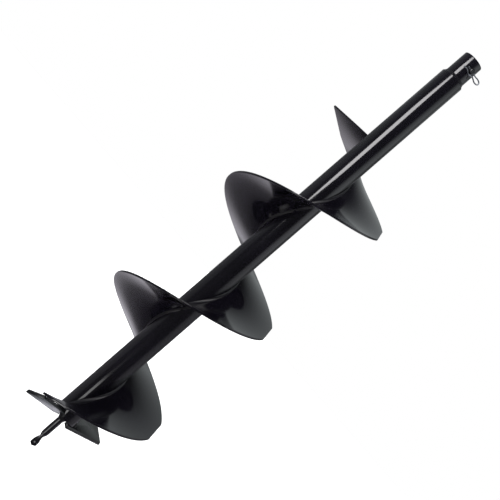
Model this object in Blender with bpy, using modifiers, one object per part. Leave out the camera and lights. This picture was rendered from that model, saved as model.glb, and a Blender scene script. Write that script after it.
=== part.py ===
"""Earth auger bit, 205 mm across and 810 mm long, for a 20 mm drive shaft.

Metres, +Z up. The origin is the centre of the drive socket's mouth, so the auger hangs below it
with its pilot point at the bottom. Azimuths are measured from +X towards +Y.
"""

import math

import bmesh
import bpy
from mathutils import Matrix, Vector

GAP = 0.0003                      # between pieces that touch or are welded

# Overall
CORNER_DEPTH = 0.808              # from the socket's mouth to the chisel's corners
TIP_Z = -CORNER_DEPTH

# Core tube and what closes its ends
TUBE_RADIUS = 0.019
TUBE_WALL = 0.0027
TUBE_TOP_Z = -0.040
TUBE_BOTTOM_Z = TIP_Z + 0.0570
PLUG_BOTTOM_Z = TIP_Z + 0.0720
PLUG_LENGTH = 0.028

# Drive socket: a turned bush whose lower half is a spigot inside the tube
SOCKET_RADIUS = 0.016
SOCKET_BORE = 0.0101
SOCKET_BORE_DEPTH = 0.072
SOCKET_LENGTH = 0.082
SOCKET_RIM = 0.0015
SOCKET_WELD_TOP_Z = -0.0355

# Flight: a right-handed helical plate in three pressed sections
FLIGHT_RADIUS = 0.1025
FLIGHT_PLATE = 0.003
FLIGHT_PITCH = 0.2048
FLIGHT_START_Z = TIP_Z + 0.0742
FLIGHT_START_AZIMUTH = math.radians(-113.6)
FLIGHT_TURNS = 2.7144
FLIGHT_LEAD_SAG = 0.003           # the first turn is pressed a little flatter
FLIGHT_SAG = 0.0018               # and so is the whole, halfway up
FLIGHT_FLAT = 0.0040              # how much the straight edge of a blank takes off the rim
FLIGHT_END_FLAT = 0.0026          # the same at the blank's upper end
FLIGHT_END_AZIMUTH = math.radians(129.0)
FLIGHT_ROOT = TUBE_RADIUS + GAP
STEPS_PER_TURN = 60
ROOT_BEAD = 0.0022
JOINT_BEAD = 0.0020

# Cutter blades: flat parallelograms, low edge leading, opposite each other
BLADE_AZIMUTH = {"far": math.radians(56.7), "near": math.radians(241.3)}
BLADE_SLOPE = math.radians(30.5)
BLADE_RISE = math.radians(3.2)
BLADE_PLATE = 0.005
BLADE_TOP = 0.006                 # the top face above the blade frame's origin
BLADE_INNER = 0.0005
BLADE_REACH = 0.0912
BLADE_LEAD = 0.0172               # leading edge ahead of the radial line
BLADE_WIDTH = 0.0265
BLADE_SHEAR = 0.200               # inward slant of the blade's ends
BLADE_PLANE_Z = TIP_Z + 0.0564    # the blade frame's origin, on the axis

# Gusset between the near blade and the flight
GUSSET_PLATE = 0.003
GUSSET_SIDE = 0.0065              # how far behind the blade's radial line it stands
GUSSET_STATIONS = (0.0245, 0.0275, 0.031, 0.036, 0.042, 0.050, 0.060, 0.072)

# Pilot point: a round rod, forged flat and twisted at its lower end
PILOT_RADIUS = 0.005
PILOT_SHANK_Z = PLUG_BOTTOM_Z + 0.022
PILOT_TWIST_TOP = 0.026           # heights above the chisel's corners
PILOT_FLAT = 0.012
PILOT_WAIST = 0.0165
PILOT_CHISEL = 0.002              # how far the chisel's middle stands below its corners
PILOT_TWIST_RATE = math.radians(6.7) / 0.001
PILOT_HALF_WIDTH = 0.0051
PILOT_HALF_THICKNESS = 0.0021
PILOT_WELD_TOP_Z = TIP_Z + 0.0645

# Drive pin and R-clip
PIN_AZIMUTH = math.radians(-63.5)  # the side that carries the clip
PIN_Z = -0.0165
PIN_RADIUS = 0.004
PIN_HOLE = PIN_RADIUS + 0.0004
PIN_END = 0.024
PIN_HEAD_RADIUS = 0.006
PIN_HEAD = 0.0035
PIN_CHAMFER = 0.0008
CLIP_OFFSET = 0.0200              # the clip's plane, measured along the pin
CLIP_WIRE = 0.001
CLIP_HOLE = CLIP_WIRE + 0.0004

BLACK_PAINT = ("gloss_black_paint", (0.018, 0.017, 0.022, 1.0), 0.0, 0.22)
BLADE_STEEL = ("blade_paint", (0.030, 0.031, 0.033, 1.0), 0.0, 0.30)
PIN_STEEL = ("dark_steel", (0.22, 0.22, 0.23, 1.0), 1.0, 0.35)
ZINC = ("zinc_plate", (0.62, 0.65, 0.69, 1.0), 1.0, 0.30)


def clear_scene():
    for obj in list(bpy.data.objects):
        bpy.data.objects.remove(obj, do_unlink=True)


def new_collection(name):
    collection = bpy.data.collections.new(name)
    bpy.context.scene.collection.children.link(collection)
    return collection


def make_material(spec):
    name, colour, metallic, roughness = spec
    material = bpy.data.materials.new(name)
    material.use_nodes = True
    shader = material.node_tree.nodes["Principled BSDF"]
    shader.inputs["Base Color"].default_value = colour
    shader.inputs["Metallic"].default_value = metallic
    shader.inputs["Roughness"].default_value = roughness
    return material


def add_object(name, data, material, collection):
    obj = bpy.data.objects.new(name, data)
    obj.data.materials.append(material)
    collection.objects.link(obj)
    return obj


def shade(obj, angle=35.0):
    obj.data.shade_smooth()
    obj.data.set_sharp_from_angle(angle=math.radians(angle))


def turned(name, profile, material, collection, steps=48):
    """A turned piece: a closed (radius, z) outline run down its outer side, spun about Z."""
    mesh = bpy.data.meshes.new(name)
    count = len(profile)
    edges = [(i, (i + 1) % count) for i in range(count)]
    mesh.from_pydata([(radius, 0.0, z) for radius, z in profile], edges, [])
    obj = add_object(name, mesh, material, collection)
    screw = obj.modifiers.new("spin", "SCREW")
    screw.axis = "Z"
    screw.steps = steps
    screw.render_steps = steps
    screw.use_merge_vertices = True
    screw.merge_threshold = 0.00001
    return obj


def apply_modifiers(obj):
    """Replaces the object's data with its evaluated mesh."""
    depsgraph = bpy.context.evaluated_depsgraph_get()
    mesh = bpy.data.meshes.new_from_object(obj.evaluated_get(depsgraph))
    obj.modifiers.clear()
    obj.data = mesh
    return obj


def cylinder_cutter(name, radius, depth, matrix, collection, sides=32):
    bpy.ops.mesh.primitive_cylinder_add(vertices=sides, radius=radius, depth=depth)
    cutter = bpy.context.object
    cutter.name = name
    for other in list(cutter.users_collection):
        other.objects.unlink(cutter)
    collection.objects.link(cutter)
    cutter.matrix_world = matrix
    cutter.hide_render = True
    cutter.display_type = "WIRE"
    return cutter


def cut(obj, cutter):
    boolean = obj.modifiers.new("cut_" + cutter.name, "BOOLEAN")
    boolean.operation = "DIFFERENCE"
    boolean.solver = "EXACT"
    boolean.object = cutter


def mesh_from_curve(obj):
    """Turns a curve object into a welded mesh object, in the same place and with the same name."""
    bpy.context.view_layer.update()
    depsgraph = bpy.context.evaluated_depsgraph_get()
    mesh = bpy.data.meshes.new_from_object(obj.evaluated_get(depsgraph))
    bm = bmesh.new()
    bm.from_mesh(mesh)
    bmesh.ops.remove_doubles(bm, verts=bm.verts, dist=0.00001)
    bm.to_mesh(mesh)
    bm.free()
    name = obj.name
    collection = obj.users_collection[0]
    matrix = obj.matrix_world.copy()
    bpy.data.objects.remove(obj, do_unlink=True)
    result = bpy.data.objects.new(name, mesh)
    result.matrix_world = matrix
    collection.objects.link(result)
    return result


def plate(name, outline, thickness, material, collection):
    """A flat plate: an outline in its own XY plane, from its underside at z = 0 upwards."""
    curve = bpy.data.curves.new(name, "CURVE")
    curve.dimensions = "2D"
    curve.fill_mode = "BOTH"
    curve.extrude = thickness / 2
    spline = curve.splines.new("POLY")
    spline.points.add(len(outline) - 1)
    for point, (x, y) in zip(spline.points, outline):
        point.co = (x, y, 0.0, 1.0)
    spline.use_cyclic_u = True
    obj = mesh_from_curve(add_object(name, curve, material, collection))
    obj.data.transform(Matrix.Translation((0.0, 0.0, thickness / 2)))
    return obj


def bead(name, points, radius, material, collection):
    """A weld bead laid along a line of points."""
    curve = bpy.data.curves.new(name, "CURVE")
    curve.dimensions = "3D"
    curve.bevel_depth = radius
    curve.bevel_resolution = 1
    curve.use_fill_caps = True
    spline = curve.splines.new("POLY")
    spline.points.add(len(points) - 1)
    for point, place in zip(spline.points, points):
        point.co = (place[0], place[1], place[2], 1.0)
    return add_object(name, curve, material, collection)


# ---------------------------------------------------------------- flight

def flight_azimuth(turn):
    return FLIGHT_START_AZIMUTH + 2 * math.pi * turn


def flight_height(turn):
    height = FLIGHT_START_Z + FLIGHT_PITCH * turn
    height -= FLIGHT_SAG * math.sin(math.pi * turn / FLIGHT_TURNS) ** 2
    if turn < 1.0:
        height -= FLIGHT_LEAD_SAG * math.sin(math.pi * turn) ** 2
    return height


def rim_radius(turn):
    """The rim, with the straight edge that each blank has on its +X side and at its upper end."""
    azimuth = flight_azimuth(turn)
    across = (FLIGHT_RADIUS - FLIGHT_FLAT) / max(math.cos(azimuth), 0.1)
    if turn > 2.4:
        away = math.cos(azimuth - FLIGHT_END_AZIMUTH)
        across = min(across, (FLIGHT_RADIUS - FLIGHT_END_FLAT) / max(away, 0.1))
    return min(FLIGHT_RADIUS, across)


def flight_point(turn, radius, lift=0.0):
    """A point on the plate's middle surface, or lifted off it along its upward normal."""
    azimuth = flight_azimuth(turn)
    steepness = FLIGHT_PITCH / (2 * math.pi * radius)
    normal = Vector((steepness * math.sin(azimuth), -steepness * math.cos(azimuth), 1.0))
    place = Vector((radius * math.cos(azimuth), radius * math.sin(azimuth), flight_height(turn)))
    return place + normal.normalized() * lift


def flight_section(name, start, end, material, collection, cells=3):
    """A flat grid bent round the tube into one section of the helix, then thickened."""
    joint = GAP / (2 * math.pi * 2 * FLIGHT_ROOT)
    first = start + (joint if start > 0 else 0.0)
    steps = round((end - start) * STEPS_PER_TURN)
    bm = bmesh.new()
    bmesh.ops.create_grid(bm, x_segments=steps, y_segments=cells, size=0.5)
    for vert in bm.verts:
        turn = first + (end - first) * (vert.co.x + 0.5)
        share = vert.co.y + 0.5
        rim = rim_radius(turn)
        vert.co = flight_point(turn, FLIGHT_ROOT + share * (rim - FLIGHT_ROOT))
    mesh = bpy.data.meshes.new(name)
    bm.to_mesh(mesh)
    bm.free()
    obj = add_object(name, mesh, material, collection)
    solidify = obj.modifiers.new("plate", "SOLIDIFY")
    solidify.thickness = FLIGHT_PLATE
    solidify.offset = 0.0
    shade(obj)
    return obj


def root_weld(name, start, end, material, collection):
    """The bead along the underside of a flight's root."""
    lift = -(FLIGHT_PLATE / 2 + GAP + ROOT_BEAD)
    radius = FLIGHT_ROOT + GAP + ROOT_BEAD
    steps = round((end - start) * STEPS_PER_TURN / 2)
    turns = [start + (end - start) * i / steps for i in range(steps + 1)]
    points = [flight_point(turn, radius, lift) for turn in turns]
    return bead(name, points, ROOT_BEAD, material, collection)


def joint_weld(name, turn, material, collection):
    """The bead across the top of the flight where two sections meet."""
    lift = FLIGHT_PLATE / 2 + 2 * GAP + JOINT_BEAD
    radii = [FLIGHT_ROOT + 0.005 + i * 0.0075 for i in range(11)]
    points = [flight_point(turn, radius, lift) for radius in radii]
    return bead(name, points, JOINT_BEAD, material, collection)


# ---------------------------------------------------------------- blades

def blade_quad(gap=0.0):
    """The blade's four sides in its own plane: x outwards, y towards the trailing edge."""
    slant = BLADE_SHEAR * BLADE_WIDTH
    lead = -BLADE_LEAD - gap
    trail = BLADE_WIDTH - BLADE_LEAD + gap
    return [
        (BLADE_INNER - gap, lead),
        (BLADE_REACH + gap, lead),
        (BLADE_REACH - slant + gap, trail),
        (BLADE_INNER - slant - gap, trail),
    ]


def blade_outline():
    """The same, with the notch behind the inner end of the cutting edge for the pilot point."""
    first, second, third, _ = blade_quad()
    side = 0.0095
    floor = -0.0088
    inner = BLADE_INNER - BLADE_SHEAR * (floor + BLADE_LEAD)
    return [first, second, third, (side, third[1]), (side, floor), (inner, floor)]


def blade_frame(side):
    turn = Matrix.Rotation(BLADE_AZIMUTH[side], 4, "Z")
    rise = Matrix.Rotation(-BLADE_RISE, 4, "Y")
    slope = Matrix.Rotation(BLADE_SLOPE, 4, "X")
    return Matrix.Translation((0.0, 0.0, BLADE_PLANE_Z)) @ turn @ rise @ slope


def cutter_blade(side, material, collection, cutter):
    obj = plate("cutter_blade_" + side, blade_outline(), BLADE_PLATE, material, collection)
    obj.matrix_world = blade_frame(side) @ Matrix.Translation((0, 0, BLADE_TOP - BLADE_PLATE))
    cut(obj, cutter)
    return obj


def blade_slot(side, material, collection):
    """The room a blade takes out of the tube's end: the blade, a gap wider, and all below it."""
    depth = 0.030
    outline = blade_quad(GAP)
    slot = plate("slot_" + side, outline, depth, material, collection)
    slot.matrix_world = blade_frame(side) @ Matrix.Translation((0, 0, BLADE_TOP + GAP - depth))
    slot.hide_render = True
    slot.display_type = "WIRE"
    return slot


def blade_top(side, radius, azimuth):
    """Height of a blade's top face above a point given by radius and azimuth."""
    frame = blade_frame(side)
    normal = frame.to_3x3() @ Vector((0.0, 0.0, 1.0))
    base = frame @ Vector((0.0, 0.0, BLADE_TOP))
    x = radius * math.cos(azimuth)
    y = radius * math.sin(azimuth)
    return base.z - (normal.x * (x - base.x) + normal.y * (y - base.y)) / normal.z


def beside_blade(along, side):
    """Radius and azimuth of a point along the near blade, at a distance behind its radial line."""
    return math.hypot(along, side), BLADE_AZIMUTH["near"] + math.atan2(side, along)


def flight_underside(along, side):
    radius, azimuth = beside_blade(along, side)
    turn = (azimuth - FLIGHT_START_AZIMUTH - 2 * math.pi) / (2 * math.pi)
    steep = FLIGHT_PITCH / (2 * math.pi * radius)
    return flight_height(turn) - FLIGHT_PLATE / 2 * math.sqrt(1 + steep * steep)


def near_gusset(material, collection):
    """The web in the wedge between the near blade and the flight's leading end."""
    half = GUSSET_PLATE / 2
    gap = 0.0004
    bm = bmesh.new()
    rings = []
    for along in GUSSET_STATIONS:
        ring = []
        for side, top in ((-half, False), (half, False), (half, True), (-half, True)):
            side += GUSSET_SIDE
            radius, azimuth = beside_blade(along, side)
            if top:
                height = flight_underside(along, side) - 2 * gap
            else:
                height = blade_top("near", radius, azimuth) + gap
            ring.append(bm.verts.new((radius * math.cos(azimuth), radius * math.sin(azimuth), height)))
        rings.append(ring)
    for inner, outer in zip(rings, rings[1:]):
        for i in range(4):
            j = (i + 1) % 4
            bm.faces.new((inner[i], inner[j], outer[j], outer[i]))
    bm.faces.new(rings[0])
    bm.faces.new(list(reversed(rings[-1])))
    bmesh.ops.recalc_face_normals(bm, faces=bm.faces)
    mesh = bpy.data.meshes.new("blade_gusset_near")
    bm.to_mesh(mesh)
    bm.free()
    return add_object("blade_gusset_near", mesh, material, collection)


def blade_flight_weld(material, collection):
    """The short bead where the near blade's outer corner meets the flight's leading edge."""
    radius = 0.0016
    side = (BLADE_WIDTH - BLADE_LEAD) * math.cos(BLADE_SLOPE) + radius + 3 * GAP
    points = []
    for i in range(5):
        along = 0.070 + i * 0.003
        place, azimuth = beside_blade(along, side)
        points.append((place * math.cos(azimuth), place * math.sin(azimuth),
                       flight_underside(along, side) - radius - 2 * GAP))
    return bead("blade_flight_weld", points, radius, material, collection)


def blade_weld(side, material, collection):
    """The bead along the tube where its notched end sits on a blade."""
    bead_radius = 0.0018
    radius = TUBE_RADIUS + 2 * GAP + bead_radius
    lift = (2 * GAP + bead_radius) / math.cos(BLADE_SLOPE)
    points = []
    for i in range(8):
        azimuth = BLADE_AZIMUTH[side] + math.radians(-38.0 + 36.0 * i / 7)
        height = blade_top(side, radius, azimuth) + lift
        points.append((radius * math.cos(azimuth), radius * math.sin(azimuth), height))
    return bead("blade_weld_" + side, points, bead_radius, material, collection)


# ---------------------------------------------------------------- pilot point

def pilot_section(height):
    """Half width, half thickness and turn of the pilot's section at a height above the tip."""
    share = min(max((PILOT_TWIST_TOP - height) / (PILOT_TWIST_TOP - PILOT_FLAT), 0.0), 1.0)
    ease = share * share * (3 - 2 * share)
    thickness = PILOT_RADIUS + (PILOT_HALF_THICKNESS - PILOT_RADIUS) * ease
    width = PILOT_RADIUS + (PILOT_HALF_WIDTH - PILOT_RADIUS) * ease
    taper = min(1.0, 0.15 + (height + PILOT_CHISEL) / 0.0028)
    turn = math.pi / 2 + (PILOT_WAIST - min(height, PILOT_TWIST_TOP)) * PILOT_TWIST_RATE
    return width * taper, thickness * min(1.0, 0.45 + (height + PILOT_CHISEL) / 0.008), turn


def pilot_point(material, collection, sides=12):
    """A loft from the round shank to the flat, twisted, chisel-ended tip."""
    heights = [PILOT_SHANK_Z - TIP_Z, 0.040]
    heights += [PILOT_TWIST_TOP - i * 0.002 for i in range(14)] + [-PILOT_CHISEL]
    bm = bmesh.new()
    rings = []
    for height in heights:
        width, thickness, turn = pilot_section(height)
        ring = []
        for i in range(sides):
            angle = 2 * math.pi * i / sides
            x = width * math.cos(angle)
            y = thickness * math.sin(angle)
            spot = Vector((x, y, 0.0))
            spot.rotate(Matrix.Rotation(turn, 3, "Z"))
            ring.append(bm.verts.new((spot.x, spot.y, TIP_Z + height)))
        rings.append(ring)
    for upper, lower in zip(rings, rings[1:]):
        for i in range(sides):
            j = (i + 1) % sides
            bm.faces.new((upper[i], lower[i], lower[j], upper[j]))
    bm.faces.new(rings[0])
    bm.faces.new(list(reversed(rings[-1])))
    bmesh.ops.recalc_face_normals(bm, faces=bm.faces)
    mesh = bpy.data.meshes.new("pilot_point")
    bm.to_mesh(mesh)
    bm.free()
    obj = add_object("pilot_point", mesh, material, collection)
    shade(obj)
    return obj


# ---------------------------------------------------------------- drive pin and clip

def pin_matrix(distance=0.0):
    """Stands on the pin's axis, its own Z along the pin towards the clip's side."""
    along = Vector((math.cos(PIN_AZIMUTH), math.sin(PIN_AZIMUTH), 0.0))
    turn = along.to_track_quat("Z", "Y").to_matrix().to_4x4()
    return Matrix.Translation(Vector((0.0, 0.0, PIN_Z)) + along * distance) @ turn


def clip_matrix():
    """The clip's plane: its own X along the straight leg, its own Y up."""
    along = Vector((math.cos(PIN_AZIMUTH), math.sin(PIN_AZIMUTH), 0.0))
    leg = Vector((0.0, 0.0, 1.0)).cross(along)
    up = Vector((0.0, 0.0, 1.0))
    matrix = Matrix((leg, up, leg.cross(up))).transposed().to_4x4()
    return Matrix.Translation(Vector((0.0, 0.0, PIN_Z)) + along * CLIP_OFFSET) @ matrix


def drive_pin(material, collection, cutters):
    head_top = -(SOCKET_RADIUS + 0.0004)
    head_bottom = head_top - PIN_HEAD
    profile = [
        (0.0, PIN_END),
        (PIN_RADIUS - PIN_CHAMFER, PIN_END),
        (PIN_RADIUS, PIN_END - PIN_CHAMFER),
        (PIN_RADIUS, head_top),
        (PIN_HEAD_RADIUS, head_top),
        (PIN_HEAD_RADIUS, head_bottom + PIN_CHAMFER),
        (PIN_HEAD_RADIUS - PIN_CHAMFER, head_bottom),
        (0.0, head_bottom),
    ]
    obj = turned("drive_pin", profile, material, collection, steps=24)
    apply_modifiers(obj)
    obj.matrix_world = pin_matrix()
    for cutter in cutters:
        cut(obj, cutter)
    shade(obj)
    return obj


def r_clip(material, collection):
    """One bent wire: a straight leg, an eye, a neck and a leg that waves round the pin."""
    leg = 0.0
    neck = 0.0032
    path = [
        (-0.0085, leg),
        (-0.0040, leg),
        (0.0050, leg),
        (0.0105, leg - 0.0002),
        (0.0160, leg + 0.0004),
        (0.0205, leg - 0.0004),
        (0.0222, leg - 0.0028),
        (0.0203, leg - 0.0052),
        (0.0155, leg - 0.0060),
        (0.0105, leg - 0.0046),
        (0.0068, leg - neck - 0.0006),
        (0.0038, leg - 0.0046),
        (0.0000, leg - 0.0059),
        (-0.0040, leg - 0.0050),
        (-0.0080, leg - 0.0034),
        (-0.0140, leg - 0.0052),
    ]
    curve = bpy.data.curves.new("r_clip", "CURVE")
    curve.dimensions = "3D"
    curve.bevel_depth = CLIP_WIRE
    curve.bevel_resolution = 2
    curve.resolution_u = 3
    curve.use_fill_caps = True
    spline = curve.splines.new("BEZIER")
    spline.bezier_points.add(len(path) - 1)
    for point, (x, y) in zip(spline.bezier_points, path):
        point.co = (x, y, 0.0)
        point.handle_left_type = "AUTO"
        point.handle_right_type = "AUTO"
    obj = add_object("r_clip", curve, material, collection)
    obj.matrix_world = clip_matrix()
    return obj


# ---------------------------------------------------------------- the whole auger

def build():
    clear_scene()
    auger = new_collection("soil_auger")
    cutters = new_collection("cutters")
    paint = make_material(BLACK_PAINT)
    steel = make_material(BLADE_STEEL)
    dark = make_material(PIN_STEEL)
    zinc = make_material(ZINC)

    pin_hole = cylinder_cutter("pin_hole", PIN_HOLE, 0.06, pin_matrix(), cutters)
    leg_across = clip_matrix() @ Matrix.Rotation(math.radians(90), 4, "Y")
    clip_hole = cylinder_cutter("clip_hole", CLIP_HOLE, 0.02, leg_across, cutters, sides=16)
    pilot_place = Matrix.Translation((0.0, 0.0, BLADE_PLANE_Z))
    pilot_clear = cylinder_cutter("pilot_clear", 0.0084, 0.05, pilot_place, cutters)
    slots = [blade_slot(side, steel, cutters) for side in BLADE_AZIMUTH]

    inner = TUBE_RADIUS - TUBE_WALL
    tube = turned("core_tube", [
        (inner, TUBE_TOP_Z),
        (TUBE_RADIUS, TUBE_TOP_Z),
        (TUBE_RADIUS, TUBE_BOTTOM_Z),
        (inner, TUBE_BOTTOM_Z),
    ], paint, auger)
    apply_modifiers(tube)
    for slot in slots:
        cut(tube, slot)
    shade(tube)

    socket = turned("drive_socket", [
        (SOCKET_BORE, -SOCKET_RIM / 2),
        (SOCKET_BORE + SOCKET_RIM / 2, 0.0),
        (SOCKET_RADIUS - SOCKET_RIM, 0.0),
        (SOCKET_RADIUS - SOCKET_RIM * 0.3, -SOCKET_RIM * 0.3),
        (SOCKET_RADIUS, -SOCKET_RIM),
        (SOCKET_RADIUS, -SOCKET_LENGTH),
        (0.0, -SOCKET_LENGTH),
        (0.0, -SOCKET_BORE_DEPTH - 0.003),
        (SOCKET_BORE, -SOCKET_BORE_DEPTH),
    ], paint, auger)
    apply_modifiers(socket)
    cut(socket, pin_hole)
    shade(socket)

    collar = SOCKET_RADIUS + GAP
    weld = turned("socket_weld", [
        (collar, SOCKET_WELD_TOP_Z),
        (collar + 0.0008, SOCKET_WELD_TOP_Z - 0.0008),
        (collar + 0.0015, SOCKET_WELD_TOP_Z - 0.0022),
        (TUBE_RADIUS, TUBE_TOP_Z + GAP),
        (collar, TUBE_TOP_Z + GAP),
    ], paint, auger)
    shade(weld)

    plug = turned("end_plug", [
        (PILOT_RADIUS + GAP, PLUG_BOTTOM_Z + PLUG_LENGTH),
        (inner - GAP, PLUG_BOTTOM_Z + PLUG_LENGTH),
        (inner - GAP, PLUG_BOTTOM_Z),
        (PILOT_RADIUS + GAP, PLUG_BOTTOM_Z),
    ], dark, auger, steps=32)
    shade(plug)

    sections = {"lower": (0.0, 1.0), "middle": (1.0, 2.0), "upper": (2.0, FLIGHT_TURNS)}
    for part, (start, end) in sections.items():
        flight_section("flight_" + part, start, end, paint, auger)
        root_weld("flight_" + part + "_weld", start + 0.01, end - 0.01, paint, auger)
    joint_weld("flight_joint_weld_lower", 1.0, paint, auger)
    joint_weld("flight_joint_weld_upper", 2.0, paint, auger)

    for side in BLADE_AZIMUTH:
        cutter_blade(side, steel, auger, pilot_clear)
        blade_weld(side, paint, auger)
    near_gusset(paint, auger)
    blade_flight_weld(paint, auger)

    pilot_point(paint, auger)
    pilot_weld = turned("pilot_weld", [
        (PILOT_RADIUS + GAP, PILOT_WELD_TOP_Z),
        (0.0079, PILOT_WELD_TOP_Z),
        (0.0078, PILOT_WELD_TOP_Z - 0.006),
        (0.0066, PILOT_WELD_TOP_Z - 0.011),
        (PILOT_RADIUS + GAP, PILOT_WELD_TOP_Z - 0.014),
    ], paint, auger, steps=32)
    shade(pilot_weld)

    drive_pin(dark, auger, (clip_hole,))
    r_clip(zinc, auger)


build()
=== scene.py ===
"""Earth auger bit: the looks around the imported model.

Metres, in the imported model's frame: +Z up out of the drive socket's mouth, pilot point at -Z.
Azimuths run from +X towards +Y. Everything here is made in code on top of the frame.
"""

import math

import bmesh
import bpy
from mathutils import Matrix, Vector, noise


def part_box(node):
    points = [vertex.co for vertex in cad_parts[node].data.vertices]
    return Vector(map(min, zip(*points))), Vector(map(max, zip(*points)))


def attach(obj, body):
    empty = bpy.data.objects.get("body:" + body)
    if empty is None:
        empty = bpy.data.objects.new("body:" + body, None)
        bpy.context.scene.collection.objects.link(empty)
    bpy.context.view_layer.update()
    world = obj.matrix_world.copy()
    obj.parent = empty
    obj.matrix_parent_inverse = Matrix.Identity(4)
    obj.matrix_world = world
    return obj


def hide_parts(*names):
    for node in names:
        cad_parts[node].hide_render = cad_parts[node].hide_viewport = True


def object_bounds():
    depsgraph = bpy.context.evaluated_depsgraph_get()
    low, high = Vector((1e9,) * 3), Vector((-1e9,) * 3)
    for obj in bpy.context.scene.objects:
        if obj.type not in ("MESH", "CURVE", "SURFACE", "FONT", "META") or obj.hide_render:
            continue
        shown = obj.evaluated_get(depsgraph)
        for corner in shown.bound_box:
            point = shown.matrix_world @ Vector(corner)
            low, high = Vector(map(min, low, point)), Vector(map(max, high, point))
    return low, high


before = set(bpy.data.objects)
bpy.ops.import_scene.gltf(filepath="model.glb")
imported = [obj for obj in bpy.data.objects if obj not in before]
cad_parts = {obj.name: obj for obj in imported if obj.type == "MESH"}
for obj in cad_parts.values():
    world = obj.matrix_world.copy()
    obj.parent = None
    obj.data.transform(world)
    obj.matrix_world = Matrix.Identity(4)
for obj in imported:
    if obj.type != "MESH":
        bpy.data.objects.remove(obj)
cad_low, cad_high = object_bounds()

TAU = 2 * math.pi
AUGER, PIN_BODY, CLIP_BODY = "auger_body", "pin_body", "clip_body"

# ---------------------------------------------------------------- sizes, as in the CAD model

GAP = 0.0003                      # the clearance the CAD model leaves between pieces
SINK = 0.0002                     # how far a piece here runs into the one it is welded to

CHISEL = 0.002                    # how far the pilot's chisel stands below its corners
TIP = cad_low.z + CHISEL          # height of those corners

TUBE_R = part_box("core_tube")[1].x
TUBE_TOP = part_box("core_tube")[1].z
TUBE_WALL = 0.0027
TUBE_BOTTOM = TIP + 0.0570

SOCKET_R = 0.016
SOCKET_BORE = 0.0101
SOCKET_DEPTH = 0.072
SOCKET_LENGTH = 0.082

FLIGHT_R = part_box("flight_middle")[1].y
PLATE = 0.003
PITCH = 0.2048
START_Z = TIP + 0.0742
START_AZ = math.radians(-113.6)
TURNS = 2.7144
LEAD_SAG = 0.003                  # how much flatter the first turn is pressed
SAG = 0.0018                      # the same for the whole flight, halfway up
RIM_FLAT = 0.0040                 # what a blank's straight edge takes off the rim
END_FLAT = 0.0026                 # the same at the flight's upper end
END_FLAT_AZ = math.radians(129.0)
END_FLAT_TURN = 2.4               # the turn above which the upper end's flat counts
FILLET_LEG, FILLET_RISE = 0.0027, 0.0028   # root weld, out along the plate and up the tube

BLADE_AZ = {"far": math.radians(56.7), "near": math.radians(241.3)}
BLADE_SLOPE = math.radians(30.5)
BLADE_RISE = math.radians(3.2)
BLADE_UNDER, BLADE_TOP = 0.001, 0.006      # the two faces above the blade frame's origin
BLADE_INNER = 0.0005
BLADE_REACH = 0.0912
BLADE_LEAD = 0.0172               # leading edge ahead of the radial line
BLADE_WIDTH = 0.0265
BLADE_SHEAR = 0.200               # inward slant of the blade's ends
BLADE_Z = TIP + 0.0564
GRIND, GRIND_DEPTH = 0.0022, 0.0032        # bevel along each cutting edge
WEB_SIDE, WEB_HALF = 0.0065, 0.0015        # the near blade's web: place and half thickness
WEB_START, WEB_LENGTH = 0.0240, 0.0500

PILOT_R = 0.005
PILOT_HALF_WIDTH, PILOT_HALF_THICKNESS = 0.0051, 0.0021
TWIST_TOP, FLAT, WAIST = 0.026, 0.012, 0.0165      # heights above the chisel's corners
TWIST_RATE = math.radians(6.7) / 0.001

PIN_AZ = math.radians(-63.5)      # the side that carries the clip
PIN_Z = -0.0165
PIN_R = 0.004
PIN_END = 0.024
PIN_HEAD_R, PIN_HEAD = 0.006, 0.0035
PIN_CHAMFER = 0.0008
HOLE_CLEARANCE = 0.0004
CLIP_OFFSET = 0.0200              # the clip's plane, measured along the pin
CLIP_WIRE = 0.001


# ---------------------------------------------------------------- mesh helpers

def new_object(name, mesh, *materials):
    obj = bpy.data.objects.new(name, mesh)
    for material in materials:
        mesh.materials.append(material)
    bpy.context.scene.collection.objects.link(obj)
    return obj


def smooth(obj, angle=38.0):
    obj.data.shade_smooth()
    obj.data.set_sharp_from_angle(angle=math.radians(angle))
    return obj


def from_bmesh(name, bm, *materials):
    bmesh.ops.remove_doubles(bm, verts=bm.verts, dist=0.000002)
    bmesh.ops.recalc_face_normals(bm, faces=bm.faces)
    mesh = bpy.data.meshes.new(name)
    bm.to_mesh(mesh)
    bm.free()
    return new_object(name, mesh, *materials)


def loft(name, rings, material, closed=True, capped=True, angle=38.0, bm=None, finish=True):
    """Skins a list of rings of points. Rings are closed loops, and the two ends get caps."""
    bm = bm or bmesh.new()
    rows = [[bm.verts.new(point) for point in ring] for ring in rings]
    count = len(rings[0])
    last = count if closed else count - 1
    for a, b in zip(rows, rows[1:]):
        for i in range(last):
            j = (i + 1) % count
            bm.faces.new((a[i], a[j], b[j], b[i]))
    if capped:
        bm.faces.new(rows[0])
        bm.faces.new(list(reversed(rows[-1])))
    if not finish:
        return bm
    return smooth(from_bmesh(name, bm, material), angle)


def rounded(outline, radius, parts=3, closed=True):
    """The outline with each corner rounded off by arcs of up to that radius."""
    points = [Vector(p) for p in outline]
    count = len(points)
    result = []
    for i, corner in enumerate(points):
        if not closed and i in (0, count - 1):
            result.append(corner)
            continue
        before, after = points[i - 1], points[(i + 1) % count]
        to_before, to_after = before - corner, after - corner
        turn = math.pi - to_before.angle(to_after)
        reach = min(radius * math.tan(turn / 2), to_before.length * 0.45, to_after.length * 0.45)
        if turn < 0.15:
            result.append(corner)
            continue
        start = corner + to_before.normalized() * reach
        end = corner + to_after.normalized() * reach
        for k in range(parts + 1):
            t = k / parts
            result.append(start.lerp(corner, t).lerp(corner.lerp(end, t), t))
    return result


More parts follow.
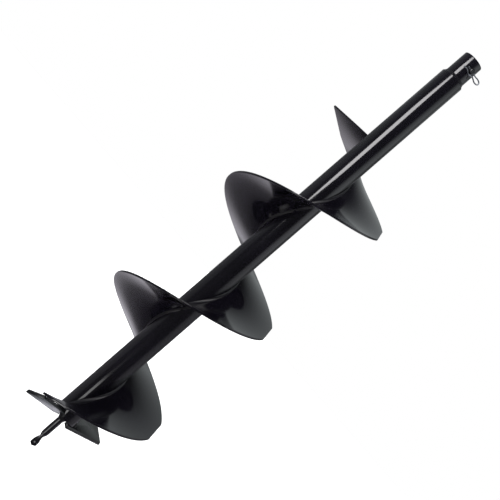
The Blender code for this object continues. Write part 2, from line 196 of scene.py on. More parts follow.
def turned(name, profile, material, steps=96, wobble=None, angle=38.0):
    """A closed (radius, z) outline spun about Z."""
    rings = []
    for k in range(steps):
        azimuth = TAU * k / steps
        ring = []
        for radius, z in profile:
            r, height = (radius, z) if wobble is None else wobble(radius, z, azimuth)
            ring.append((r * math.cos(azimuth), r * math.sin(azimuth), height))
        rings.append(ring)
    return loft(name, rings + [rings[0]], material, capped=False, angle=angle)


def applied(obj):
    """The object with its modifiers made real."""
    bpy.context.view_layer.update()
    depsgraph = bpy.context.evaluated_depsgraph_get()
    mesh = bpy.data.meshes.new_from_object(obj.evaluated_get(depsgraph))
    old = obj.data
    obj.modifiers.clear()
    obj.data = mesh
    bpy.data.meshes.remove(old)
    return obj


def cut(obj, *cutters):
    for cutter in cutters:
        boolean = obj.modifiers.new("cut", "BOOLEAN")
        boolean.operation = "DIFFERENCE"
        boolean.solver = "EXACT"
        boolean.object = cutter
    applied(obj)
    for cutter in cutters:
        bpy.data.objects.remove(cutter, do_unlink=True)
    return smooth(obj)


def soften(obj, width, segments=3, angle=30.0):
    bevel = obj.modifiers.new("soften", "BEVEL")
    bevel.width = width
    bevel.segments = segments
    bevel.limit_method = "ANGLE"
    bevel.angle_limit = math.radians(angle)
    bevel.harden_normals = True
    return applied(obj)


def placed(obj, matrix):
    obj.data.transform(matrix)
    return obj


def rod_cutter(radius, length, matrix, sides=48):
    rings = []
    for z in (-length / 2, length / 2):
        rings.append([(radius * math.cos(TAU * i / sides), radius * math.sin(TAU * i / sides), z)
                      for i in range(sides)])
    return placed(loft("cutter", rings, None), matrix)


def along(name, points, radii, material, sides=16, angle=50.0, squash=1.0, up=None):
    """A round or flattened bar along a line of points, with a radius at each point."""
    points = [Vector(p) for p in points]
    rings = []
    normal = None
    for i, point in enumerate(points):
        tangent = (points[min(i + 1, len(points) - 1)] - points[max(i - 1, 0)]).normalized()
        if normal is None:
            guess = up or Vector((0.0, 0.0, 1.0))
            if abs(guess.dot(tangent)) > 0.95:
                guess = Vector((1.0, 0.0, 0.0))
            normal = guess
        normal = (normal - tangent * normal.dot(tangent)).normalized()
        other = tangent.cross(normal)
        rings.append([point + (normal * math.sin(TAU * k / sides) * squash
                               + other * math.cos(TAU * k / sides)) * radii[i]
                      for k in range(sides)])
    return loft(name, rings, material, angle=angle)


def catmull(points, parts=8):
    """A smooth line through the points."""
    points = [Vector(p) for p in points]
    result = []
    for i in range(len(points) - 1):
        a = points[max(i - 1, 0)]
        b, c = points[i], points[i + 1]
        d = points[min(i + 2, len(points) - 1)]
        for k in range(parts):
            t = k / parts
            result.append(0.5 * ((2 * b) + (c - a) * t + (2 * a - 5 * b + 4 * c - d) * t * t
                                 + (3 * b - a - 3 * c + d) * t * t * t))
    result.append(points[-1])
    return result


def stand_for(obj, body, slot, *nodes):
    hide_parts(*nodes)
    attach(obj, body)
    return obj


# ---------------------------------------------------------------- materials

class Nodes:
    """A material's nodes, made one at a time and wired as they are made."""

    def __init__(self, name):
        self.material = bpy.data.materials.new(name)
        self.material.use_nodes = True
        self.tree = self.material.node_tree
        self.shader = self.tree.nodes["Principled BSDF"]

    def add(self, kind, **values):
        node = self.tree.nodes.new(kind)
        for key, value in values.items():
            setattr(node, key, value)
        return node

    def link(self, source, target):
        self.tree.links.new(source, target)

    def place(self, stretch=(1.0, 1.0, 1.0)):
        coordinates = self.add("ShaderNodeTexCoord")
        mapping = self.add("ShaderNodeMapping")
        mapping.inputs["Scale"].default_value = stretch
        self.link(coordinates.outputs["Object"], mapping.inputs["Vector"])
        return mapping.outputs["Vector"]

    def noise(self, place, scale, detail=3.0, roughness=0.5):
        node = self.add("ShaderNodeTexNoise")
        node.inputs["Scale"].default_value = scale
        node.inputs["Detail"].default_value = detail
        node.inputs["Roughness"].default_value = roughness
        self.link(place, node.inputs["Vector"])
        return node.outputs["Fac"]

    def ramp(self, source, low, high, start=0.35, end=0.65):
        node = self.add("ShaderNodeMapRange")
        node.inputs["From Min"].default_value = start
        node.inputs["From Max"].default_value = end
        node.inputs["To Min"].default_value = low
        node.inputs["To Max"].default_value = high
        self.link(source, node.inputs["Value"])
        return node.outputs["Result"]

    def colours(self, source, first, second, start=0.35, end=0.65):
        node = self.add("ShaderNodeMix", data_type="RGBA")
        for socket in node.inputs:
            if socket.type == "RGBA":
                socket.default_value = (*(first if socket.name == "A" else second), 1.0)
        self.link(self.ramp(source, 0.0, 1.0, start, end), node.inputs["Factor"])
        return [s for s in node.outputs if s.type == "RGBA"][0]

    def bump(self, height, distance, strength=1.0, below=None):
        node = self.add("ShaderNodeBump")
        node.inputs["Strength"].default_value = strength
        node.inputs["Distance"].default_value = distance
        self.link(height, node.inputs["Height"])
        if below is not None:
            self.link(below, node.inputs["Normal"])
        return node.outputs["Normal"]


def gloss_paint(name, base, rough, peel=0.0000012):
    """Sprayed gloss enamel: orange peel, uneven gloss and a little colour depth."""
    n = Nodes(name)
    place = n.place()
    slow = n.noise(place, 14.0, 2.0)
    fine = n.noise(place, 420.0, 1.0)
    wide = n.noise(place, 60.0, 2.0)
    darker = tuple(c * 0.80 for c in base)
    lighter = tuple(c * 1.25 for c in base)
    n.link(n.colours(slow, darker, lighter), n.shader.inputs["Base Color"])
    n.link(n.ramp(slow, rough * 0.85, rough * 1.2, 0.3, 0.7), n.shader.inputs["Roughness"])
    normal = n.bump(wide, 0.00001)
    normal = n.bump(fine, peel, below=normal)
    n.link(normal, n.shader.inputs["Normal"])
    n.shader.inputs["IOR"].default_value = 1.5
    return n.material


def weld_paint(name, base, rough):
    """The same enamel over a hand-laid weld, which shows its ripples and a rougher ground."""
    n = Nodes(name)
    place = n.place()
    slow = n.noise(place, 25.0, 2.0)
    lumps = n.noise(place, 170.0, 2.0)
    ripples = n.noise(n.place((1.0, 1.0, 2.6)), 330.0, 1.0)
    n.link(n.colours(slow, base, tuple(c * 1.4 for c in base)), n.shader.inputs["Base Color"])
    n.link(n.ramp(slow, rough * 0.9, rough * 1.3, 0.3, 0.7), n.shader.inputs["Roughness"])
    normal = n.bump(lumps, 0.00015)
    n.link(n.bump(ripples, 0.00005, below=normal), n.shader.inputs["Normal"])
    return n.material


def ground_steel(name, base, rough, stretch):
    """Bare steel with the fine parallel scratches of a grinding belt."""
    n = Nodes(name)
    scratches = n.noise(n.place(stretch), 60.0, 4.0, 0.7)
    cloud = n.noise(n.place(), 30.0, 2.0)
    n.link(n.colours(scratches, tuple(c * 0.82 for c in base), base, 0.3, 0.7),
           n.shader.inputs["Base Color"])
    n.link(n.ramp(cloud, rough * 0.85, rough * 1.2, 0.3, 0.7), n.shader.inputs["Roughness"])
    n.link(n.bump(scratches, 0.00003), n.shader.inputs["Normal"])
    n.shader.inputs["Metallic"].default_value = 1.0
    return n.material


def plated_steel(name, base, rough, spots=120.0):
    """Bare or plated metal with a cloudy surface."""
    n = Nodes(name)
    place = n.place()
    cloud = n.noise(place, spots, 3.0)
    n.link(n.colours(cloud, tuple(c * 0.78 for c in base), base, 0.3, 0.7),
           n.shader.inputs["Base Color"])
    n.link(n.ramp(cloud, rough * 0.8, rough * 1.3, 0.3, 0.7), n.shader.inputs["Roughness"])
    n.link(n.bump(n.noise(place, 900.0, 2.0), 0.00002), n.shader.inputs["Normal"])
    n.shader.inputs["Metallic"].default_value = 1.0
    return n.material


PAINT_BASE = (0.0028, 0.0024, 0.0042)
paint = gloss_paint("gloss_black_enamel", PAINT_BASE, 0.11)
weld = weld_paint("gloss_black_enamel_on_weld", PAINT_BASE, 0.40)
blade_paint = gloss_paint("blade_enamel", (0.0050, 0.0055, 0.0065), 0.30, peel=0.000003)
ground = ground_steel("ground_blade_face", (0.24, 0.272, 0.275), 0.30, (1.0, 1.0, 14.0))
pin_steel = plated_steel("blackened_pin_steel", (0.10, 0.10, 0.105), 0.36)
zinc = plated_steel("zinc_plated_wire", (0.66, 0.70, 0.75), 0.27)
plain_steel = plated_steel("plain_mild_steel", (0.26, 0.26, 0.27), 0.42, spots=70.0)

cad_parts["end_plug"].data.materials.clear()
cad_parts["end_plug"].data.materials.append(plain_steel)


# ---------------------------------------------------------------- flight

def turn_azimuth(turn):
    return START_AZ + TAU * turn


def turn_height(turn):
    height = START_Z + PITCH * turn - SAG * math.sin(math.pi * turn / TURNS) ** 2
    if turn < 1.0:
        height -= LEAD_SAG * math.sin(math.pi * turn) ** 2
    return height


def rim_radius(turn):
    azimuth = turn_azimuth(turn)
    across = (FLIGHT_R - RIM_FLAT) / max(math.cos(azimuth), 0.1)
    if turn > END_FLAT_TURN:
        across = min(across, (FLIGHT_R - END_FLAT) / max(math.cos(azimuth - END_FLAT_AZ), 0.1))
    return min(FLIGHT_R, across)


def on_flight(turn, radius, lift=0.0):
    """A point at a radius on the flight's middle surface, lifted off it at that same radius."""
    azimuth = turn_azimuth(turn)
    steep = PITCH / (TAU * radius)
    size = math.sqrt(1 + steep * steep)
    azimuth -= lift * steep / (size * radius)
    return Vector((radius * math.cos(azimuth), radius * math.sin(azimuth),
                   turn_height(turn) + lift / size))


def flight_plate(name, start, end):
    """One section of the flight between two turns, with its rim rounded off."""
    half = PLATE / 2
    edge = 0.0007
    shares = (0.0, 0.06, 0.13, 0.22, 0.34, 0.47, 0.61, 0.75, 0.87, 0.95)
    steps = round((end - start) * 180)
    rings = []
    root = TUBE_R - SINK
    for i in range(steps + 1):
        turn = start + (end - start) * i / steps
        rim = rim_radius(turn)
        section = [(root + (rim - root) * share, -half) for share in shares]
        section += [(rim - edge * 2, -half), (rim - edge, -half)]
        for k in range(1, 4):
            angle = math.pi / 2 * k / 4
            section.append((rim - edge + edge * math.sin(angle),
                            -half + edge * (1 - math.cos(angle))))
        section += [(rim, -half + edge), (rim, 0.0)]
        upper = [(radius, -lift) for radius, lift in reversed(section[:-1])]
        rings.append([on_flight(turn, radius, lift) for radius, lift in section + upper])
    return loft(name, rings, paint)


def root_fillet(name, start, end):
    """The two hand-laid fillet welds along a flight's root, above and below the plate."""
    half = PLATE / 2
    sink, skin, hollow_depth = 0.0003, 0.00005, 0.62
    steps = round((end - start) * 300)
    bm = bmesh.new()
    for side in (1, -1):
        rings = []
        for i in range(steps + 1):
            turn = start + (end - start) * i / steps
            lay = noise.noise(Vector((turn * 46.0, side * 3.7, 0.5)))
            ends = min(1.0, (i + 0.6) / 5, (steps - i + 0.6) / 5) ** 0.5
            leg = FILLET_LEG * (1.0 + 0.10 * lay) * ends
            rise = FILLET_RISE * (1.0 - 0.08 * lay) * ends
            ring = [on_flight(turn, TUBE_R - sink, side * (half - sink)),
                    on_flight(turn, TUBE_R + leg * 1.12, side * (half - sink))]
            for k in range(9):
                t = k / 8
                hollow = hollow_depth * t * (1 - t)
                out = max(1 - t - hollow, 0.0)
                up = max(t - hollow, 0.0)
                ring.append(on_flight(turn, TUBE_R + leg * out + skin,
                                      side * (half + rise * up + skin)))
            ring.append(on_flight(turn, TUBE_R - sink, side * (half + rise * 1.06)))
            rings.append(ring)
        loft(name, rings, weld, bm=bm, finish=False)
    return smooth(from_bmesh(name, bm, weld), 45.0)


def joint_bead(name, turn):
    """The low weld bead across the top of the flight where two pressed sections meet."""
    inner, outer = 0.006, 0.0025      # how far the bead stops from the tube and from the rim
    count = 120
    rings = []
    for i in range(count + 1):
        share = i / count
        radius = TUBE_R + inner + share * (FLIGHT_R - TUBE_R - inner - outer)
        ends = min(1.0, (i + 0.5) / 5, (count - i + 0.5) / 5) ** 0.5
        lay = noise.noise(Vector((share * 26.0, turn * 5.0, 1.5)))
        ripple = math.sin(share * 320.0) * 0.05
        half_width = 0.0026 * ends * (1 + 0.12 * lay + ripple)
        crown = 0.0009 * ends * (1 + 0.15 * lay + ripple)
        steep = PITCH / (TAU * radius)
        ring = []
        for k in range(11):
            angle = math.pi * k / 10
            across = half_width * math.cos(angle)
            lift = PLATE / 2 - SINK + crown * math.sin(angle)
            step = across / math.sqrt(1 + steep * steep) / (TAU * radius)
            ring.append(on_flight(turn + step, radius, lift))
        rings.append(ring)
    return loft(name, rings, weld, angle=50.0)


OPEN_END = 0.004                  # share of a turn that the root weld stops from a free end
sections = {"lower": (0.0, 1.0), "middle": (1.0, 2.0), "upper": (2.0, TURNS)}
for part, (first, last) in sections.items():
    node = "flight_" + part
    stand_for(flight_plate(node + "_plate", first, last), AUGER, "black_paint", node)
    fillet = root_fillet(node + "_fillet", first + (OPEN_END if first == 0 else 0.0),
                         last - (OPEN_END if last == TURNS else 0.0))
    stand_for(fillet, AUGER, "black_paint", node + "_weld")
for part, turn in (("lower", 1.0), ("upper", 2.0)):
    node = "flight_joint_weld_" + part
    stand_for(joint_bead(node + "_bead", turn), AUGER, "black_paint", node)


# ---------------------------------------------------------------- blades

def blade_frame(side):
    turn = Matrix.Rotation(BLADE_AZ[side], 4, "Z")
    rise = Matrix.Rotation(-BLADE_RISE, 4, "Y")
    slope = Matrix.Rotation(BLADE_SLOPE, 4, "X")
    return Matrix.Translation((0.0, 0.0, BLADE_Z)) @ turn @ rise @ slope


def blade_prism(name, section, low_x, high_x, slant=BLADE_SHEAR):
    """A bar with a (y, z) section, its two ends slanted inwards towards the trailing edge."""
    bm = bmesh.new()
    rows = []
    for base in (low_x, high_x):
        rows.append([bm.verts.new((base - slant * (y + BLADE_LEAD), y, z)) for y, z in section])
    count = len(section)
    for i in range(count):
        j = (i + 1) % count
        bm.faces.new((rows[0][i], rows[0][j], rows[1][j], rows[1][i]))
    bm.faces.new(rows[0])
    bm.faces.new(list(reversed(rows[1])))
    return from_bmesh(name, bm)


def blade_slot(side):
    """What a blade, and all the room below it, takes out of the tube's end."""
    lead, trail = -BLADE_LEAD - GAP, BLADE_WIDTH - BLADE_LEAD + GAP
    section = [(lead, -0.03), (trail, -0.03), (trail, BLADE_TOP), (lead, BLADE_TOP)]
    slot = blade_prism("slot", section, BLADE_INNER - GAP, BLADE_REACH + GAP)
    return placed(slot, blade_frame(side))


def cutter_blade(side):
    """A painted blade with a bevelled cutting edge and a bare ground underside."""
    lead, trail = -BLADE_LEAD, BLADE_WIDTH - BLADE_LEAD
    section = [
        (lead, BLADE_UNDER),
        (trail, BLADE_UNDER),
        (trail, BLADE_TOP),
        (lead + GRIND, BLADE_TOP),
        (lead, BLADE_TOP - GRIND_DEPTH),
    ]
    obj = blade_prism("cutter_blade_" + side + "_plate", section, BLADE_INNER, BLADE_REACH)
    obj.data.materials.append(blade_paint)
    obj.data.materials.append(ground)
    for polygon in obj.data.polygons:
        polygon.material_index = 1 if polygon.normal.z < -0.9 else 0
    plug_room = [(-0.0088, -0.01), (0.03, -0.01), (0.03, 0.02), (-0.0088, 0.02)]
    cut(obj, blade_prism("notch", plug_room, -0.03, 0.0095, slant=0.0))
    soften(obj, 0.0005)
    placed(obj, blade_frame(side))
    clear = rod_cutter(0.0084, 0.06, Matrix.Translation((0.0, 0.0, BLADE_Z)))
    return cut(obj, clear)


def blade_top(side, radius, azimuth):
    """Height of a blade's top face above a point given by radius and azimuth."""
    place = blade_frame(side)
    normal = place.to_3x3() @ Vector((0.0, 0.0, 1.0))
    base = place @ Vector((0.0, 0.0, BLADE_TOP))
    x, y = radius * math.cos(azimuth), radius * math.sin(azimuth)
    return base.z - (normal.x * (x - base.x) + normal.y * (y - base.y)) / normal.z


def at(radius, azimuth, z):
    return Vector((radius * math.cos(azimuth), radius * math.sin(azimuth), z))


def blade_weld(side):
    """The bead over a blade's top face, where it passes the tube."""
    count = 48
    radius = TUBE_R + 0.0012
    points, radii = [], []
    for i in range(count + 1):
        share = i / count
        azimuth = BLADE_AZ[side] + math.radians(-42.0 + 44.0 * share)
        lay = noise.noise(Vector((share * 14.0, BLADE_AZ[side], 2.5)))
        ends = min(1.0, (i + 0.4) / 4, (count - i + 0.4) / 4) ** 0.5
        points.append(at(radius, azimuth, blade_top(side, radius, azimuth) + 0.0008))
        radii.append(0.0030 * ends * (1 + 0.16 * lay + 0.05 * math.sin(share * 90.0)))
    return along("blade_weld_" + side + "_bead", points, radii, weld)


def beside_blade(distance, side):
    """Radius and azimuth of a point along the near blade, at a distance behind its radial line."""
    return math.hypot(distance, side), BLADE_AZ["near"] + math.atan2(side, distance)


def flight_underside(distance, side):
    """Height of the flight's lower face above a point beside the near blade."""
    radius, azimuth = beside_blade(distance, side)
    turn = (azimuth - START_AZ - TAU) / TAU
    steep = PITCH / (TAU * radius)
    return turn_height(turn) - PLATE / 2 * math.sqrt(1 + steep * steep)


def near_web():
    """The wedge of plate that fills the gap between the near blade and the flight."""
    count = 32
    corners = ((-WEB_HALF, False), (WEB_HALF, False), (WEB_HALF, True), (-WEB_HALF, True))
    rings = []
    for i in range(count + 1):
        distance = WEB_START + WEB_LENGTH * i / count
        ring = []
        for off, top in corners:
            side = off + WEB_SIDE
            radius, azimuth = beside_blade(distance, side)
            height = (flight_underside(distance, side) - SINK if top
                      else blade_top("near", radius, azimuth) + 0.0001)
            ring.append(at(radius, azimuth, height))
        rings.append(ring)
    return loft("blade_gusset_near_plate", rings, paint)


def near_flight_weld():
    """The bead between the near blade's outer end and the flight."""
    count = 40
    side = 0.0098
    points, radii = [], []
    for i in range(count + 1):
        share = i / count
        distance = 0.068 + 0.0175 * share
        radius, azimuth = beside_blade(distance, side)
        lay = noise.noise(Vector((share * 9.0, 7.5, 2.5)))
        ends = min(1.0, (i + 0.4) / 4, (count - i + 0.4) / 4) ** 0.5
        points.append(at(radius, azimuth, flight_underside(distance, side) - 0.0016))
        radii.append(0.0024 * ends * (1 + 0.20 * lay + 0.06 * math.sin(share * 60.0)))
    return along("blade_flight_weld_bead", points, radii, weld)


for side in BLADE_AZ:
    stand_for(cutter_blade(side), AUGER, "blade_paint", "cutter_blade_" + side)
    stand_for(blade_weld(side), AUGER, "black_paint", "blade_weld_" + side)
stand_for(near_web(), AUGER, "black_paint", "blade_gusset_near")
stand_for(near_flight_weld(), AUGER, "black_paint", "blade_flight_weld")


# ---------------------------------------------------------------- tube and socket

bore = TUBE_R - TUBE_WALL
tube_profile = rounded([
    (bore, TUBE_TOP), (TUBE_R, TUBE_TOP), (TUBE_R, TUBE_BOTTOM), (bore, TUBE_BOTTOM),
], 0.0006)
tube = turned("core_tube_wall", tube_profile, paint, steps=128)
cut(tube, blade_slot("far"), blade_slot("near"))
stand_for(tube, AUGER, "black_paint", "core_tube")


def pin_matrix():
    """Where the pin's own Z axis lies across the socket."""
    direction = Vector((math.cos(PIN_AZ), math.sin(PIN_AZ), 0.0))
    turn = direction.to_track_quat("Z", "Y").to_matrix().to_4x4()
    return Matrix.Translation((0.0, 0.0, PIN_Z)) @ turn


socket_profile = rounded([
    (SOCKET_BORE, -0.0006), (SOCKET_BORE + 0.0008, 0.0), (SOCKET_R, 0.0),
    (SOCKET_R, -SOCKET_LENGTH), (0.0002, -SOCKET_LENGTH), (0.0002, -SOCKET_DEPTH - 0.003),
    (SOCKET_BORE, -SOCKET_DEPTH),
], 0.0017, parts=5)
socket = turned("drive_socket_body", socket_profile, paint, steps=128)
cut(socket, rod_cutter(PIN_R + HOLE_CLEARANCE, 0.06, pin_matrix()))
stand_for(socket, AUGER, "black_paint", "drive_socket")

weld_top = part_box("socket_weld")[1].z


def weld_wobble(radius, z, azimuth):
    """The uneven lay of the ring weld, on its outside only."""
    lay = noise.noise(Vector((math.cos(azimuth) * 3.0, math.sin(azimuth) * 3.0, z * 90.0)))
    outside = max(0.0, radius - SOCKET_R) / 0.003
    return radius + 0.00022 * lay * outside, z + 0.0004 * lay * outside


weld_profile = rounded([
    (SOCKET_R - 0.0004, weld_top + 0.0002), (SOCKET_R + 0.0001, weld_top + 0.0002),
    (SOCKET_R + 0.0007, weld_top - 0.0016), (SOCKET_R + 0.0016, weld_top - 0.0032),
    (TUBE_R - 0.0003, TUBE_TOP - 0.0002), (SOCKET_R - 0.0004, TUBE_TOP - 0.0002),
], 0.0014, parts=4)
ring_weld = turned("socket_weld_bead", weld_profile, weld, steps=160, wobble=weld_wobble,
                   angle=60.0)
stand_for(ring_weld, AUGER, "black_paint", "socket_weld")


# ---------------------------------------------------------------- pilot point

PILOT_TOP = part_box("pilot_point")[1].z - TIP


def pilot_ring(height, sides=40):
    """The pilot's section at a height: round above, flat and twisted below."""
    share = min(max((TWIST_TOP - height) / (TWIST_TOP - FLAT), 0.0), 1.0)
    ease = share * share * (3 - 2 * share)
    thick = PILOT_R + (PILOT_HALF_THICKNESS - PILOT_R) * ease
    width = PILOT_R + (PILOT_HALF_WIDTH - PILOT_R) * ease
    width *= min(1.0, 0.15 + (height + CHISEL) / 0.0028)
    thick *= min(1.0, 0.40 + (height + CHISEL) / 0.008)
    turn = math.pi / 2 + (WAIST - min(height, TWIST_TOP)) * TWIST_RATE
    power = 1.0 - 0.45 * ease
    ring = []
    for i in range(sides):
        angle = TAU * i / sides
        c, s = math.cos(angle), math.sin(angle)
        x = width * math.copysign(abs(c) ** power, c)
        y = thick * math.copysign(abs(s) ** power, s)
        spot = Vector((x, y, 0.0))
        spot.rotate(Matrix.Rotation(turn, 3, "Z"))
        ring.append((spot.x, spot.y, TIP + height))
    return ring


heights = [PILOT_TOP, 0.060, 0.040, 0.030, TWIST_TOP]
heights += [TWIST_TOP - i * (TWIST_TOP + CHISEL) / 80 for i in range(81)]
pilot = loft("pilot_point_rod", [pilot_ring(h) for h in heights], paint, angle=55.0)
stand_for(pilot, AUGER, "black_paint", "pilot_point")

weld_low, weld_high = (corner.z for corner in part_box("pilot_weld"))


def pilot_wobble(radius, z, azimuth):
    """The same for the bead round the pilot."""
    lay = noise.noise(Vector((math.cos(azimuth) * 2.2, math.sin(azimuth) * 2.2, z * 140.0)))
    return radius + 0.0004 * lay * max(0.0, radius - PILOT_R) / 0.003, z


pilot_profile = [
    (PILOT_R - 0.0004, weld_high), (0.0079, weld_high), (0.0080, weld_high - 0.004),
    (0.0077, weld_high - 0.0070), (0.0068, weld_high - 0.0100), (0.0057, weld_high - 0.0125),
    (PILOT_R + 0.0001, weld_low), (PILOT_R - 0.0004, weld_low),
]
pilot_weld = turned("pilot_weld_bead", pilot_profile, weld, steps=72, wobble=pilot_wobble,
                    angle=60.0)
stand_for(pilot_weld, AUGER, "black_paint", "pilot_weld")


# ---------------------------------------------------------------- drive pin and R-clip

direction = Vector((math.cos(PIN_AZ), math.sin(PIN_AZ), 0.0))
upright = Vector((0.0, 0.0, 1.0))
leg = upright.cross(direction)
clip_place = Matrix((leg, upright, leg.cross(upright))).transposed().to_4x4()
clip_place = Matrix.Translation(Vector((0.0, 0.0, PIN_Z)) + direction * CLIP_OFFSET) @ clip_place

head_top = -(SOCKET_R + HOLE_CLEARANCE)
head_bottom = head_top - PIN_HEAD
pin_profile = rounded([
    (0.0001, PIN_END), (PIN_R - PIN_CHAMFER, PIN_END), (PIN_R, PIN_END - PIN_CHAMFER),
    (PIN_R, head_top), (PIN_HEAD_R, head_top), (PIN_HEAD_R, head_bottom + PIN_CHAMFER),
    (PIN_HEAD_R - PIN_CHAMFER, head_bottom), (0.0001, head_bottom),
], 0.0005)
pin = turned("drive_pin_body", pin_profile, pin_steel, steps=64)
placed(pin, pin_matrix())
across_pin = clip_place @ Matrix.Rotation(math.pi / 2, 4, "Y")
cut(pin, rod_cutter(CLIP_WIRE + HOLE_CLEARANCE, 0.02, across_pin))
stand_for(pin, PIN_BODY, "plain_steel", "drive_pin")

# The clip's line in its own plane: straight leg, loop, then the two humps of the wavy leg.
clip_line = catmull([
    (-0.0085, 0.0, 0.0), (-0.0040, 0.0, 0.0), (0.0050, 0.0, 0.0), (0.0105, -0.0002, 0.0),
    (0.0160, 0.0004, 0.0), (0.0205, -0.0004, 0.0), (0.0222, -0.0028, 0.0),
    (0.0203, -0.0052, 0.0), (0.0155, -0.0060, 0.0), (0.0105, -0.0046, 0.0),
    (0.0068, -0.0038, 0.0), (0.0038, -0.0046, 0.0), (0.0, -0.0059, 0.0),
    (-0.0040, -0.0050, 0.0), (-0.0080, -0.0034, 0.0), (-0.0140, -0.0052, 0.0),
])
# The wire's two cut ends are rounded over by three short, narrowing steps.
TIP_STEPS = ((0.0, 0.35), (0.0002, 0.75), (0.0005, 0.94))   # distance in from the end, width
wire = [CLIP_WIRE] * len(clip_line)
for end, inward in ((0, 1), (-1, -1)):
    corner = clip_line[end]
    step = (clip_line[end + inward] - corner).normalized()
    for k, (back, width) in enumerate(TIP_STEPS):
        clip_line[end + inward * k] = corner + step * back
        wire[end + inward * k] = CLIP_WIRE * width
clip = along("r_clip_wire", clip_line, wire, zinc, sides=14, up=Vector((0.0, 0.0, 1.0)))
placed(clip, clip_place)
stand_for(clip, CLIP_BODY, "zinc_wire", "r_clip")


# ---------------------------------------------------------------- floor, light and camera

FLOOR_Z = TIP - 0.25

FLOOR_REACH = 60.0
floor_mesh = bpy.data.meshes.new("floor")
floor_mesh.from_pydata([(-FLOOR_REACH, -FLOOR_REACH, FLOOR_Z), (FLOOR_REACH, -FLOOR_REACH, FLOOR_Z),
                        (FLOOR_REACH, FLOOR_REACH, FLOOR_Z), (-FLOOR_REACH, FLOOR_REACH, FLOOR_Z)],
                       [], [(0, 1, 2, 3)])
floor_nodes = Nodes("floor_white")
floor_nodes.link(floor_nodes.colours(floor_nodes.noise(floor_nodes.place(), 3.0),
                                     (0.90, 0.90, 0.90), (0.93, 0.93, 0.93)),
                 floor_nodes.shader.inputs["Base Color"])
floor_nodes.shader.inputs["Roughness"].default_value = 0.9
floor_nodes.shader.inputs["Specular IOR Level"].default_value = 0.0
# From below, the floor is clear, so that it hides nothing and casts no light back.
geometry = floor_nodes.add("ShaderNodeNewGeometry")
clear = floor_nodes.add("ShaderNodeBsdfTransparent")
either = floor_nodes.add("ShaderNodeMixShader")
floor_nodes.link(geometry.outputs["Backfacing"], either.inputs[0])
floor_nodes.link(floor_nodes.shader.outputs[0], either.inputs[1])
floor_nodes.link(clear.outputs[0], either.inputs[2])
floor_nodes.link(either.outputs[0], floor_nodes.tree.nodes["Material Output"].inputs["Surface"])
floor = new_object("floor", floor_mesh, floor_nodes.material)
floor.visible_glossy = False

world = bpy.data.worlds.new("studio")
bpy.context.scene.world = world
world.use_nodes = True
tree = world.node_tree
tree.nodes.clear()


def world_node(kind, **values):
    node = tree.nodes.new(kind)
    for key, value in values.items():
        setattr(node, key, value)
    return node


def between(source, start, end, low, high):
    """Eases from low to high as the source goes from start to end."""
    node = world_node("ShaderNodeMapRange", interpolation_type="SMOOTHSTEP")
    settings = {"From Min": start, "From Max": end, "To Min": low, "To Max": high}
    for socket, value in settings.items():
        node.inputs[socket].default_value = value
    tree.links.new(source, node.inputs["Value"])
    return node.outputs["Result"]


def maths(operation, a, b):
    node = world_node("ShaderNodeMath", operation=operation)
    for socket, value in zip(node.inputs, (a, b)):
        if isinstance(value, (int, float)):
            socket.default_value = value
        else:
            tree.links.new(value, socket)
    return node.outputs[0]


direction_node = world_node("ShaderNodeTexCoord")
split = world_node("ShaderNodeSeparateXYZ")
tree.links.new(direction_node.outputs["Generated"], split.inputs[0])
X, Y, Z = split.outputs

# What the gloss reflects, as a brightness for each direction: a dim room, a brighter wall behind
# and dimmer at eye level, a soft sweep below it, and one reflector at each side.
height = maths("ABSOLUTE", Z, 0.0)
behind = maths("MULTIPLY", between(Y, 0.0, 0.75, 0.0, 0.32), between(height, 0.20, 0.30, 0.40, 1.0))
behind = maths("MULTIPLY", behind, between(Z, -0.75, -0.55, 0.5, 1.0))
sweep = maths("MULTIPLY", between(Z, -0.70, -0.42, 0.0, 0.42), between(Z, -0.32, -0.18, 1.0, 0.0))
sweep = maths("MULTIPLY", sweep, between(Y, 0.5, 0.8, 0.0, 1.0))
right_panel = maths("MULTIPLY", between(X, 0.70, 0.99, 0.0, 1.02), between(Y, 0.1, 0.7, 1.0, 0.0))
right_panel = maths("MULTIPLY", right_panel, between(Z, -0.12, 0.10, 0.38, 1.0))
left_panel = maths("ADD", between(X, -0.80, -0.97, 0.0, 0.20), between(X, 0.3, -0.4, 0.0, 0.035))
ROOM = 0.075
level = maths("ADD", maths("ADD", ROOM, behind), maths("ADD", sweep, right_panel))
level = maths("ADD", level, left_panel)
tint = world_node("ShaderNodeMix", data_type="RGBA")
rgba = [s for s in tint.inputs if s.type == "RGBA"]
rgba[0].default_value = (1.0, 0.96, 1.06, 1.0)
rgba[1].default_value = (0.95, 1.02, 1.03, 1.0)
tree.links.new(between(Z, -0.5, 0.5, 0.0, 1.0), tint.inputs[0])
surround = world_node("ShaderNodeBackground")
tree.links.new([s for s in tint.outputs if s.type == "RGBA"][0], surround.inputs["Color"])
tree.links.new(level, surround.inputs["Strength"])
# The camera itself sees plain white.
white = world_node("ShaderNodeBackground")
white.inputs["Color"].default_value = (1.0, 1.0, 1.0, 1.0)
white.inputs["Strength"].default_value = 1.0
path = world_node("ShaderNodeLightPath")
choose = world_node("ShaderNodeMixShader")
output = world_node("ShaderNodeOutputWorld")
tree.links.new(path.outputs["Is Camera Ray"], choose.inputs[0])
tree.links.new(surround.outputs[0], choose.inputs[1])
tree.links.new(white.outputs[0], choose.inputs[2])
tree.links.new(choose.outputs[0], output.inputs["Surface"])


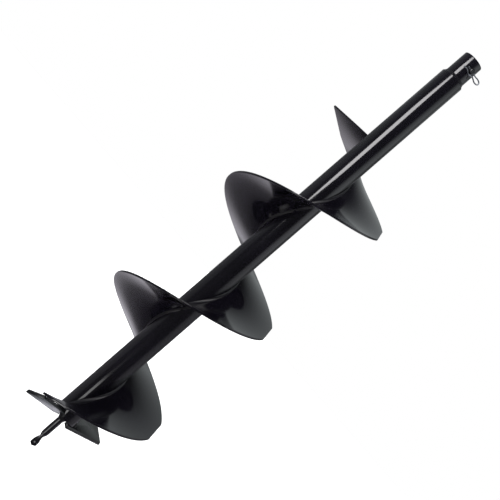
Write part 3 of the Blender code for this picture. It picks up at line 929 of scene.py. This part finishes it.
def panel(name, low, high, width, radiance, colour=(1.0, 1.0, 1.0), distance=1.05):
    """A soft box between two (bearing, height) ends. Bearing 0 is the camera's side, + is +X."""
    ends = []
    for bearing, height_at in (low, high):
        angle = math.radians(bearing)
        ends.append(Vector((math.sin(angle), -math.cos(angle), 0.0)) * distance
                    + Vector((0.0, 0.0, height_at)))
    upward = (ends[1] - ends[0]).normalized()
    centre = (ends[0] + ends[1]) / 2
    facing = Vector((centre.x, centre.y, 0.0)).normalized()
    sideways = upward.cross(facing).normalized()
    facing = sideways.cross(upward)
    light = bpy.data.lights.new(name, "AREA")
    light.shape = "RECTANGLE"
    light.size = width
    light.size_y = (ends[1] - ends[0]).length
    light.energy = radiance * math.pi * width * light.size_y
    light.color = colour
    obj = bpy.data.objects.new(name, light)
    obj.matrix_world = (Matrix.Translation(centre)
                        @ Matrix((sideways, upward, facing)).transposed().to_4x4())
    obj.visible_camera = False
    bpy.context.scene.collection.objects.link(obj)


panel("upper_soft_box", (-18.2, -0.05), (-33.0, 0.45), 0.46, 11.5, (1.0, 0.985, 1.0))
panel("lower_soft_box", (-17.0, -0.94), (-17.0, -0.80), 0.40, 3.4)
panel("floor_soft_box", (-17.0, -1.30), (-17.0, -0.94), 0.40, 6.5)

# A wide overhead diffuser that lights the floor and leaves no highlight in the gloss.
sun = bpy.data.lights.new("overhead_diffuser", "SUN")
sun.energy = 5.2
sun.angle = math.radians(70.0)
sun_object = bpy.data.objects.new("overhead_diffuser", sun)
sun_object.visible_glossy = False
bpy.context.scene.collection.objects.link(sun_object)

# The camera is rolled so that the upright auger lies across the frame, tip at the lower left.
ROLL = math.radians(40.951)
TILT = math.radians(1.706)        # how far the auger's drive end leans away
DISTANCE = 1.5941                 # to the pivot, a point on the auger's axis
PIVOT_Z = -0.4020
OFF_CENTRE = Vector((0.00802, 0.00011))
LENS, SENSOR = 83.01, 36.0
axis = Vector((math.cos(TILT) * math.cos(ROLL), math.sin(TILT), math.cos(TILT) * math.sin(ROLL)))
across = Vector((math.sin(ROLL), 0.0, -math.cos(ROLL)))
away = axis.cross(across)
right = Vector((across.x, away.x, axis.x))
forward = Vector((across.y, away.y, axis.y))
up = Vector((across.z, away.z, axis.z))
camera_data = bpy.data.cameras.new("camera")
camera_data.lens = LENS
camera_data.sensor_width = SENSOR
camera_data.sensor_fit = "HORIZONTAL"
camera_data.clip_start = 0.01
camera_data.clip_end = 200.0
camera = bpy.data.objects.new("camera", camera_data)
place = Vector((0.0, 0.0, PIVOT_Z))
place -= right * OFF_CENTRE.x + forward * DISTANCE + up * OFF_CENTRE.y
camera.matrix_world = (Matrix.Translation(place)
                       @ Matrix((right, up, -forward)).transposed().to_4x4())
bpy.context.scene.collection.objects.link(camera)
bpy.context.scene.camera = camera
bpy.context.scene.view_settings.view_transform = "Standard"
